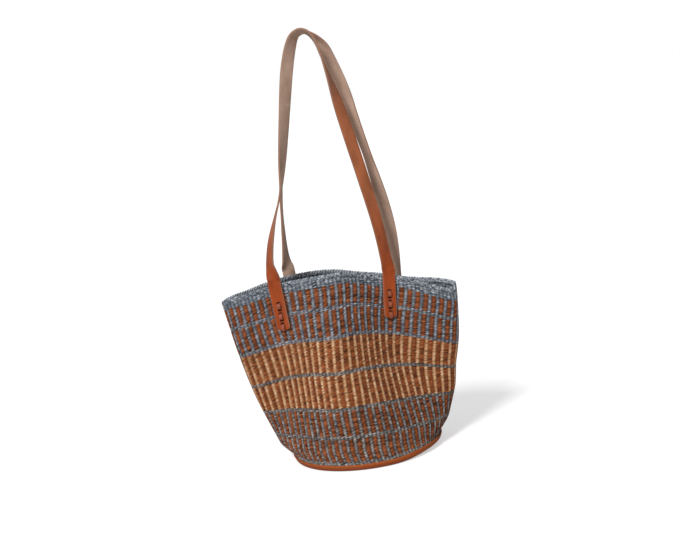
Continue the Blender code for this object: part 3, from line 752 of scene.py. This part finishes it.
# Leather base: a shallow cup with a stitched groove round its turned-up lip
def addLeatherBase():
    outside = bag["baseRadius"] + bag["clearance"] + baseCup["lipThickness"]
    lip = baseCup["lipHeight"]
    bpy.ops.mesh.primitive_cylinder_add(
        vertices=weave["warps"] * 2, radius=outside, depth=lip, end_fill_type="NGON",
        location=(0, 0, lip / 2))
    cup = bpy.context.object
    cup.name = "leather_base"
    bpy.ops.object.transform_apply(location=True, rotation=True, scale=True)
    selectPoints(cup.data, readPoints(cup)[:, 2] > lip / 2)
    bpy.ops.object.mode_set(mode="EDIT")
    bpy.ops.mesh.select_mode(type="VERT")
    bpy.ops.mesh.select_mode(type="FACE")
    bpy.ops.mesh.inset(thickness=baseCup["lipThickness"], depth=0.0)
    bpy.ops.mesh.extrude_region_move(
        TRANSFORM_OT_translate={"value": (0, 0, baseCup["sole"] - lip)})
    cutAcross(Vector((0, 0, 1)), baseCup["grooveLines"])
    bpy.ops.object.mode_set(mode="OBJECT")

    def isOuter(points):
        return np.hypot(points[:, 0], points[:, 1]) > outside - baseCup["margin"]

    bevelWhere(cup, lambda points: isOuter(points) & (points[:, 2] < baseCup["margin"]),
               baseCup["soleEdge"], baseCup["soleSegments"])
    bevelWhere(cup, lambda points: isOuter(points) & (points[:, 2] > lip - baseCup["margin"]),
               baseCup["lipEdge"], baseCup["lipSegments"])
    points = readPoints(cup)
    grooveLow = baseCup["grooveLines"][1] - baseCup["grooveMargin"]
    grooveHigh = baseCup["grooveLines"][2] + baseCup["grooveMargin"]
    groove = isOuter(points) & (points[:, 2] > grooveLow) & (points[:, 2] < grooveHigh)
    angle = np.arctan2(points[:, 1], points[:, 0])
    radius = np.hypot(points[:, 0], points[:, 1]) - baseCup["grooveDeep"] * groove
    # Sewn leather draws in a little at every stitch
    ripple = baseCup["ripple"] * np.cos(angle * weave["warps"] / 2) * smoothStep(
        points[:, 2] / lip) * (radius > outside - baseCup["rippleWidth"])
    level = points[:, 2] + ripple
    radius = np.maximum(radius, 0.0)
    writePoints(cup, wallPoint(angle, level, bag["baseRadius"] - radius))
    onlyObject(cup)
    bpy.ops.object.shade_smooth_by_angle(angle=math.radians(baseCup["smooth"]))
    finishPiece(cup, leather["base"], ["leather_base"])

    # The waxed thread that lies in the groove
    thread = stitchRow("leather_base_stitches", weave["warps"])
    finishPiece(thread, leather["thread"], ["leather_base"])
    print("leather base sewn")


def stitchRow(name, count):
    bpy.ops.mesh.primitive_uv_sphere_add(segments=8, ring_count=6, radius=1.0)
    row = bpy.context.object
    row.name = name
    repeat(row, count, (apart, 0, 0))
    applyAll(row)
    flat = readPoints(row)
    index = np.round(flat[:, 0] / apart)
    aside = (flat[:, 0] - apart * index) * baseCup["stitchHalf"]
    level = sum(baseCup["grooveLines"][1:3]) / 2 + flat[:, 2] * baseCup["threadRadius"]
    out = (bag["clearance"] + baseCup["lipThickness"] - baseCup["grooveDeep"]
           + baseCup["threadRaised"])
    depth = -out - flat[:, 1] * baseCup["threadRadius"]
    turn = 2 * np.pi * (index + 0.5) / count + aside / bag["baseRadius"]
    writePoints(row, wallPoint(turn, level, depth))
    onlyObject(row)
    bpy.ops.object.shade_smooth()
    return row


# Places on the wall as they are seen from the front. Side is -1 for the front and 1 for the
# back, and hand -1 for the left and 1 for the right.
def turnAt(side, x, level):
    up = np.clip(level / wallHeight, 0.0, 1.0)
    offset = x - bag["baseShift"] * (1.0 - up)
    return side * np.arccos(np.clip(offset / endReach(offset > 0, up), -1.0, 1.0))


def wallSeat(side, x, z, depth):
    # The level of a height is found in rounds, each of which comes closer
    level = np.array(z, dtype=float)
    for _ in range(12):
        level = level + z - wallOutline(turnAt(side, x, level), level)[..., 2]
    return wallPoint(turnAt(side, x, level), level, depth)


def bendPlace(side, hand):
    # Where a strap bends, just above the rim
    values = strap[side]
    x = np.array(values["place"] + hand * values["span"] / 2)
    level = np.array(wallHeight + strap["bendRise"])
    z = wallOutline(turnAt(side, x, level), level)[2]
    return wallSeat(side, x, z, 0.0)


def bendAxis(side):
    across = bendPlace(side, 1) - bendPlace(side, -1)
    return across / np.linalg.norm(across)


def endMiddle(side, hand, along):
    lean = hand * strap["lean"] / strap["ends"][hand]
    upright = math.sqrt(1.0 - lean ** 2)
    bend = bendPlace(side, hand)
    below = strap["ends"][hand] - along
    return bend[0] - below * lean, bend[2] - below * upright, lean, upright


def endSeat(side, hand, across, along, out):
    # A place on a strap end: across it, along it from its lower end, and out from the wall
    length = strap["ends"][hand]
    x, z, lean, upright = endMiddle(side, hand, along)
    seat = wallSeat(side, x - side * across * upright, z + side * across * lean, -out)
    straight = np.clip((along - length + strap["bendRise"]) / strap["bendRise"], 0.0, 1.0)
    axis = bendAxis(side)
    facing = side * np.array([-axis[1], axis[0], 0.0]) / math.hypot(axis[0], axis[1])
    flat = wallSeat(side, x, z, np.zeros_like(x)) - side * across[:, None] * axis
    flat = flat + facing * np.asarray(out)[:, None]
    return seat + (flat - seat) * straight[:, None]


def holePlaces(side, hand):
    # Holes along the strap end from its lower end up, after the one in the wall just below it
    places = [-lacing["belowEnd"], lacing["lastHole"]]
    for step in ("stitchApart", "stitchLength", "stitchApart", "stitchLength"):
        places.append(places[-1] + lacing[step])
    return places


def strapStations(side):
    # Stations along a strap from left to right: middle, grain side, width direction
    values = strap[side]
    out = np.array([strap["rest"] + strap["thickness"] / 2])
    ends = {hand: endSeat(side, hand, np.zeros(1), np.array([strap["ends"][hand]]), out)[0]
            for hand in (-1, 1)}
    apexY = side * strap["apexApart"] / 2
    apexZ = strap["apexHeight"] - strap["thickness"] / 2
    way = []
    for across, up, turn in values["shares"]:
        end = ends[-1] if across < 0 else ends[1]
        x = end[0] if up == 0.0 else values["place"] + across * values["span"] / 2
        way.append((x, end[1] * (1 - up) + apexY * up, end[2] * (1 - up) + apexZ * up, turn))
    way = np.array(way)
    # A Catmull-Rom curve through the places of the table
    points = []
    for index in range(len(way) - 1):
        before = way[max(index - 1, 0)]
        start, end = way[index], way[index + 1]
        after = way[min(index + 2, len(way) - 1)]
        for step in range(strap["steps"]):
            share = step / strap["steps"]
            points.append(0.5 * (
                2 * start + (end - before) * share
                + (2 * before - 5 * start + 4 * end - after) * share ** 2
                + (3 * start - before - 3 * end + after) * share ** 3))
    points.append(way[-1])
    points = np.array(points)
    along = np.gradient(points[:, :3], axis=0)
    along /= np.linalg.norm(along, axis=1, keepdims=True)
    outward = np.stack([-along[:, 2], np.zeros(len(along)), along[:, 0]], axis=1)
    outward -= along * np.sum(outward * along, axis=1, keepdims=True)
    outward /= np.linalg.norm(outward, axis=1, keepdims=True)
    forward = np.cross(along, outward)
    turn = np.radians(points[:, 3:4])
    grain = outward * np.cos(turn) + forward * np.sin(turn)
    return points[:, :3], grain, np.cross(along, grain)


def stripSection(width, thickness, edge, columns):
    # The section of a strip with rounded edges: X across, Z through the thickness
    across = np.linspace(width / 2 - edge, edge - width / 2, columns + 1)
    bend = np.radians(strap["edgeBends"])
    half = thickness / 2 - edge
    corner = np.stack([-np.sin(bend), np.cos(bend)], axis=1) * edge
    inner = np.array([edge - width / 2, half])
    left = np.concatenate([corner + inner, [[-width / 2, half]], [[-width / 2, -half]],
                           (corner + inner)[::-1] * [1, -1]])
    top = np.stack([across, np.full(columns + 1, thickness / 2)], axis=1)
    return np.concatenate([top, left, -top, -left])


def leatherStrip(name, width, thickness, edge, segments, columns):
    # A straight strip with rounded long edges: width across X, one unit of Y for each segment
    section = stripSection(width, thickness, edge, columns)
    strip = openTube(name, len(section), "Y")
    points = readPoints(strip)
    angle = np.arctan2(points[:, 2], points[:, 0])
    order = np.round(angle / (2 * np.pi) * len(section)).astype(int) % len(section)
    points[:, [0, 2]] = section[order]
    writePoints(strip, points)
    repeat(strip, segments, (0, 1, 0), joinBent)
    applyAll(strip)
    bpy.ops.object.mode_set(mode="EDIT")
    bpy.ops.mesh.select_mode(type="VERT")
    bpy.ops.mesh.select_all(action="DESELECT")
    bpy.ops.mesh.select_non_manifold()
    bpy.ops.mesh.fill_holes(sides=0)
    bpy.ops.object.mode_set(mode="OBJECT")
    faceOutwards(strip)
    return strip


def dressLeather(strip, flat, runs, width, thickness):
    # Grain is 1 on the grain side and 0 on the flesh side, cut is 1 on the cut edges
    fromEdge = np.abs(flat[:, 0]) - width / 2 + strap["edgeInset"]
    addValues(strip, "grainSide", smoothStep(flat[:, 2] / thickness + 0.5))
    addValues(strip, "cutEdge", smoothStep(fromEdge / strap["edgeBlend"]))
    addLay(strip, "leatherLay", runs, flat[:, 0])


def addStrapHalf(side, hand):
    # One half of a strap, from its laced end up to the top of the loop
    words = sideWords[side] + "_strap"
    name = words + ("_left_half" if hand < 0 else "_right_half")
    middles, grains, wides = strapStations(side)
    top = int(np.argmax(middles[:, 2]))
    chosen = np.arange(0, top + 1) if hand < 0 else np.arange(len(middles) - 1, top - 1, -1)
    length = strap["ends"][hand]
    corner = strap["corner"]
    rounding = corner * (1 - np.cos(np.linspace(0, np.pi / 2, strap["cornerSteps"])))
    alongs = np.concatenate([rounding, np.linspace(corner, length, strap["endSteps"])[1:]])
    segments = len(alongs) + len(chosen) - 2
    strip = leatherStrip(
        name, strap["width"], strap["thickness"], strap["edge"], segments, strap["columns"])
    flat = readPoints(strip)
    station = np.round(flat[:, 1]).astype(int)
    onWall = station < len(alongs)
    points = np.empty_like(flat)
    along = alongs[np.minimum(station, len(alongs) - 1)]
    # The lower corners are cut round
    narrow = np.where(
        along < corner,
        1 - (corner - np.sqrt(np.clip(corner ** 2 - (corner - along) ** 2, 0, None)))
        / (strap["width"] / 2), 1.0)
    across = flat[:, 0] * narrow
    out = strap["rest"] + strap["thickness"] / 2 + flat[:, 2]
    points[onWall] = endSeat(side, hand, -hand * across[onWall], along[onWall], out[onWall])
    above = ~onWall
    pick = chosen[np.clip(station[above] - len(alongs) + 1, 0, len(chosen) - 1)]
    points[above] = (middles[pick] + wides[pick] * flat[above, 0:1]
                     + grains[pick] * flat[above, 2:3])
    lengths = np.concatenate([[0.0], np.cumsum(np.linalg.norm(
        np.diff(middles[chosen], axis=0), axis=1))])
    runs = np.where(onWall, along, length + lengths[np.clip(
        station - len(alongs) + 1, 0, len(chosen) - 1)])
    dressLeather(strip, flat, runs, strap["width"], strap["thickness"])
    writePoints(strip, points)
    faceOutwards(strip)
    punchHoles(strip, side, hand)
    bpy.ops.object.shade_smooth_by_angle(angle=math.radians(strap["smooth"]))
    bend = bendPlace(side, hand)
    strip.data.materials.clear()
    strip.data.materials.append(leather["strap"])
    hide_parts(words, sideWords[side] + handWords[hand] + "_strap_end")
    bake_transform(strip)
    return strip


def punchHoles(strip, side, hand):
    # Oval holes for the lacing
    cutters = []
    for place in holePlaces(side, hand)[1:]:
        bpy.ops.mesh.primitive_cylinder_add(
            vertices=lacing["holeSides"], radius=1.0, depth=1.0)
        cutter = bpy.context.object
        flat = readPoints(cutter)
        across = flat[:, 0] * lacing["holeHalf"]
        along = place + flat[:, 1] * lacing["holeTall"]
        out = strap["rest"] + strap["thickness"] * (
            0.5 + flat[:, 2] * lacing["holeReach"])
        writePoints(cutter, endSeat(side, hand, across, along, out))
        cutters.append(cutter)
    bpy.ops.object.select_all(action="DESELECT")
    for cutter in cutters:
        cutter.select_set(True)
    bpy.context.view_layer.objects.active = cutters[0]
    bpy.ops.object.join()
    joined = bpy.context.object
    faceOutwards(joined)
    punch = strip.modifiers.new("punch", "BOOLEAN")
    punch.operation = "DIFFERENCE"
    punch.solver = "EXACT"
    punch.object = joined
    before = {tuple(point) for point in np.round(readPoints(strip), 7)}
    applyAll(strip)
    bpy.data.objects.remove(joined, do_unlink=True)
    onlyObject(strip)
    # The rims of the holes belong to the grain side, and their walls get a painted shade, dark as
    # the shadow inside a hole
    mesh = strip.data
    fresh = np.array([tuple(point) not in before for point in np.round(readPoints(strip), 7)])
    grain = np.empty(len(mesh.vertices), dtype=np.float32)
    mesh.attributes["grainSide"].data.foreach_get("value", grain)
    grain[fresh] = 1.0
    mesh.attributes["grainSide"].data.foreach_set("value", grain)
    holeShade = np.zeros(len(mesh.loops), dtype=np.float32)
    for polygon in mesh.polygons:
        facing = abs(polygon.normal.y)
        if facing < lacing["wallFacing"] and fresh[list(polygon.vertices)].all():
            holeShade[list(polygon.loop_indices)] = 1.0
    mesh.attributes.new("paintedHoleShade", "FLOAT", "CORNER").data.foreach_set("value", holeShade)


def thongPath(side, hand):
    # The thong's middle line as places along the strap end and out from the wall
    face = strap["rest"] + strap["thickness"]
    outer = face + lacing["thickness"] / 2
    inner = -bag["wall"] - lacing["thickness"] / 2
    holes = holePlaces(side, hand)[::-1]
    path = [(holes[0] + lacing["tail"], inner)]
    # The thong lies against the inner side of each hole, and the rest of the hole stays open
    inset = np.array([-1, 1, -1, 1, -1, 1]) * lacing["holeInset"]
    holes = np.array(holes) + inset
    for upper, lower in holes.reshape(3, 2):
        path += [(upper, inner), (upper, outer - lacing["sunk"])]
        for share in lacing["crownShares"]:
            crown = lacing["crown"] * math.sin(math.pi * share)
            path.append((upper + (lower - upper) * share, outer + crown))
        path += [(lower, outer - lacing["sunk"]), (lower, inner)]
    path.append((holes[5] - lacing["tail"], inner))
    return np.array(path)


def addLacing(side, hand):
    name = sideWords[side] + handWords[hand] + "_lacing"
    path = thongPath(side, hand)
    cut = lacing["cutShare"]
    for _ in range(lacing["cutRounds"]):
        # Corner cutting rounds the path where it turns
        cutPath = [path[0]]
        for start, end in zip(path[:-1], path[1:]):
            cutPath += [start + (end - start) * cut, end + (start - end) * cut]
        path = np.array(cutPath + [path[-1]])
    thong = leatherStrip(
        name, lacing["width"], lacing["thickness"], lacing["edge"], len(path) - 1,
        strap["columns"])
    flat = readPoints(thong)
    station = np.clip(np.round(flat[:, 1]).astype(int), 0, len(path) - 1)
    ways = np.gradient(path, axis=0)
    ways /= np.linalg.norm(ways, axis=1, keepdims=True)
    normals = np.stack([-ways[:, 1], ways[:, 0]], axis=1)
    # The path runs down the strap end, so its upper side faces the wall
    place = path[station] + normals[station] * flat[:, 2:3]
    runs = np.concatenate([[0.0], np.cumsum(np.linalg.norm(np.diff(path, axis=0), axis=1))])
    dressLeather(thong, flat * np.array([1, 1, -1]), runs[station], lacing["width"],
                 lacing["thickness"])
    writePoints(thong, endSeat(side, hand, flat[:, 0], place[:, 0], place[:, 1]))
    faceOutwards(thong)
    bpy.ops.object.shade_smooth_by_angle(angle=math.radians(lacing["smooth"]))
    finishPiece(thong, leather["thong"], [name])


def addStraps():
    for side in (-1, 1):
        for hand in (-1, 1):
            addStrapHalf(side, hand)
            addLacing(side, hand)
        print(sideWords[side], "strap is laced on")


weaveWall()
addWarps()
addRimBraid()
addWovenFloor()
addLeatherBase()
addStraps()


# Photographer's stand: floor, light and camera
studio = {
    "cameraPlace": (0.007, -2.0, 0.58), "cameraPitch": 8.0, "cameraRoll": 8.0, "lens": 66.2,
    "clipEnd": 200.0, "sunFrom": (-1.25, -2.4, 2.4), "sunStrength": 2.7, "sunSoftness": 14.0,
    "floorHalf": 60.0, "floorBelow": 0.0005,
    "floorColour": "#cfcfcf",
    "floorGlow": 0.52, "air": 0.36,
}


def setFloor():
    # The floor reflects like white paper and keeps the shadow. Seen by the camera it has a
    # little glow, so that it is as white as the air behind it.
    bpy.ops.mesh.primitive_plane_add(
        size=2 * studio["floorHalf"], location=(0, 0, -studio["floorBelow"]))
    floor = bpy.context.object
    floor.name = "floor"
    material = newMaterial("paleFloor")
    paint = addNode(material, "BsdfDiffuse", {"Color": hexToLinear(studio["floorColour"])})
    rays = (addNode(material, "LightPath"), "Is Camera Ray")
    seen = addNode(material, "Math", {0: rays, 1: studio["floorGlow"]}, operation="MULTIPLY")
    glow = addNode(material, "Emission", {"Color": hexToLinear("#ffffff"), "Strength": seen})
    both = addNode(material, "AddShader", {0: paint, 1: glow})
    addNode(material, "OutputMaterial", {"Surface": both})
    floor.data.materials.append(material)


def setWorld():
    world = bpy.data.worlds.new("studioAir")
    bpy.context.scene.world = world
    world.use_nodes = True
    world.node_tree.nodes.clear()
    rays = (addNode(world, "LightPath"), "Is Camera Ray")
    strength = addNode(world, "MapRange", {"Value": rays, "To Min": studio["air"]})
    air = addNode(world, "Background", {"Color": (1, 1, 1, 1), "Strength": strength})
    addNode(world, "OutputWorld", {"Surface": air})


def addSun():
    bpy.ops.object.light_add(type="SUN", location=studio["sunFrom"])
    lamp = bpy.context.object
    lamp.name = "keySun"
    lamp.data.energy = studio["sunStrength"]
    lamp.data.angle = math.radians(studio["sunSoftness"])
    lamp.rotation_euler = (-Vector(studio["sunFrom"])).to_track_quat("-Z", "Y").to_euler()


def setCamera():
    bpy.ops.object.camera_add(location=studio["cameraPlace"])
    camera = bpy.context.object
    camera.data.lens = studio["lens"]
    camera.data.clip_end = studio["clipEnd"]
    tilt = Matrix.Rotation(math.radians(90 - studio["cameraPitch"]), 4, "X")
    roll = Matrix.Rotation(math.radians(-studio["cameraRoll"]), 4, "Z")
    camera.matrix_world = Matrix.Translation(studio["cameraPlace"]) @ tilt @ roll
    bpy.context.scene.camera = camera


setFloor()
setWorld()
addSun()
setCamera()
bpy.context.scene.view_settings.view_transform = "Standard"
print("stand is up")
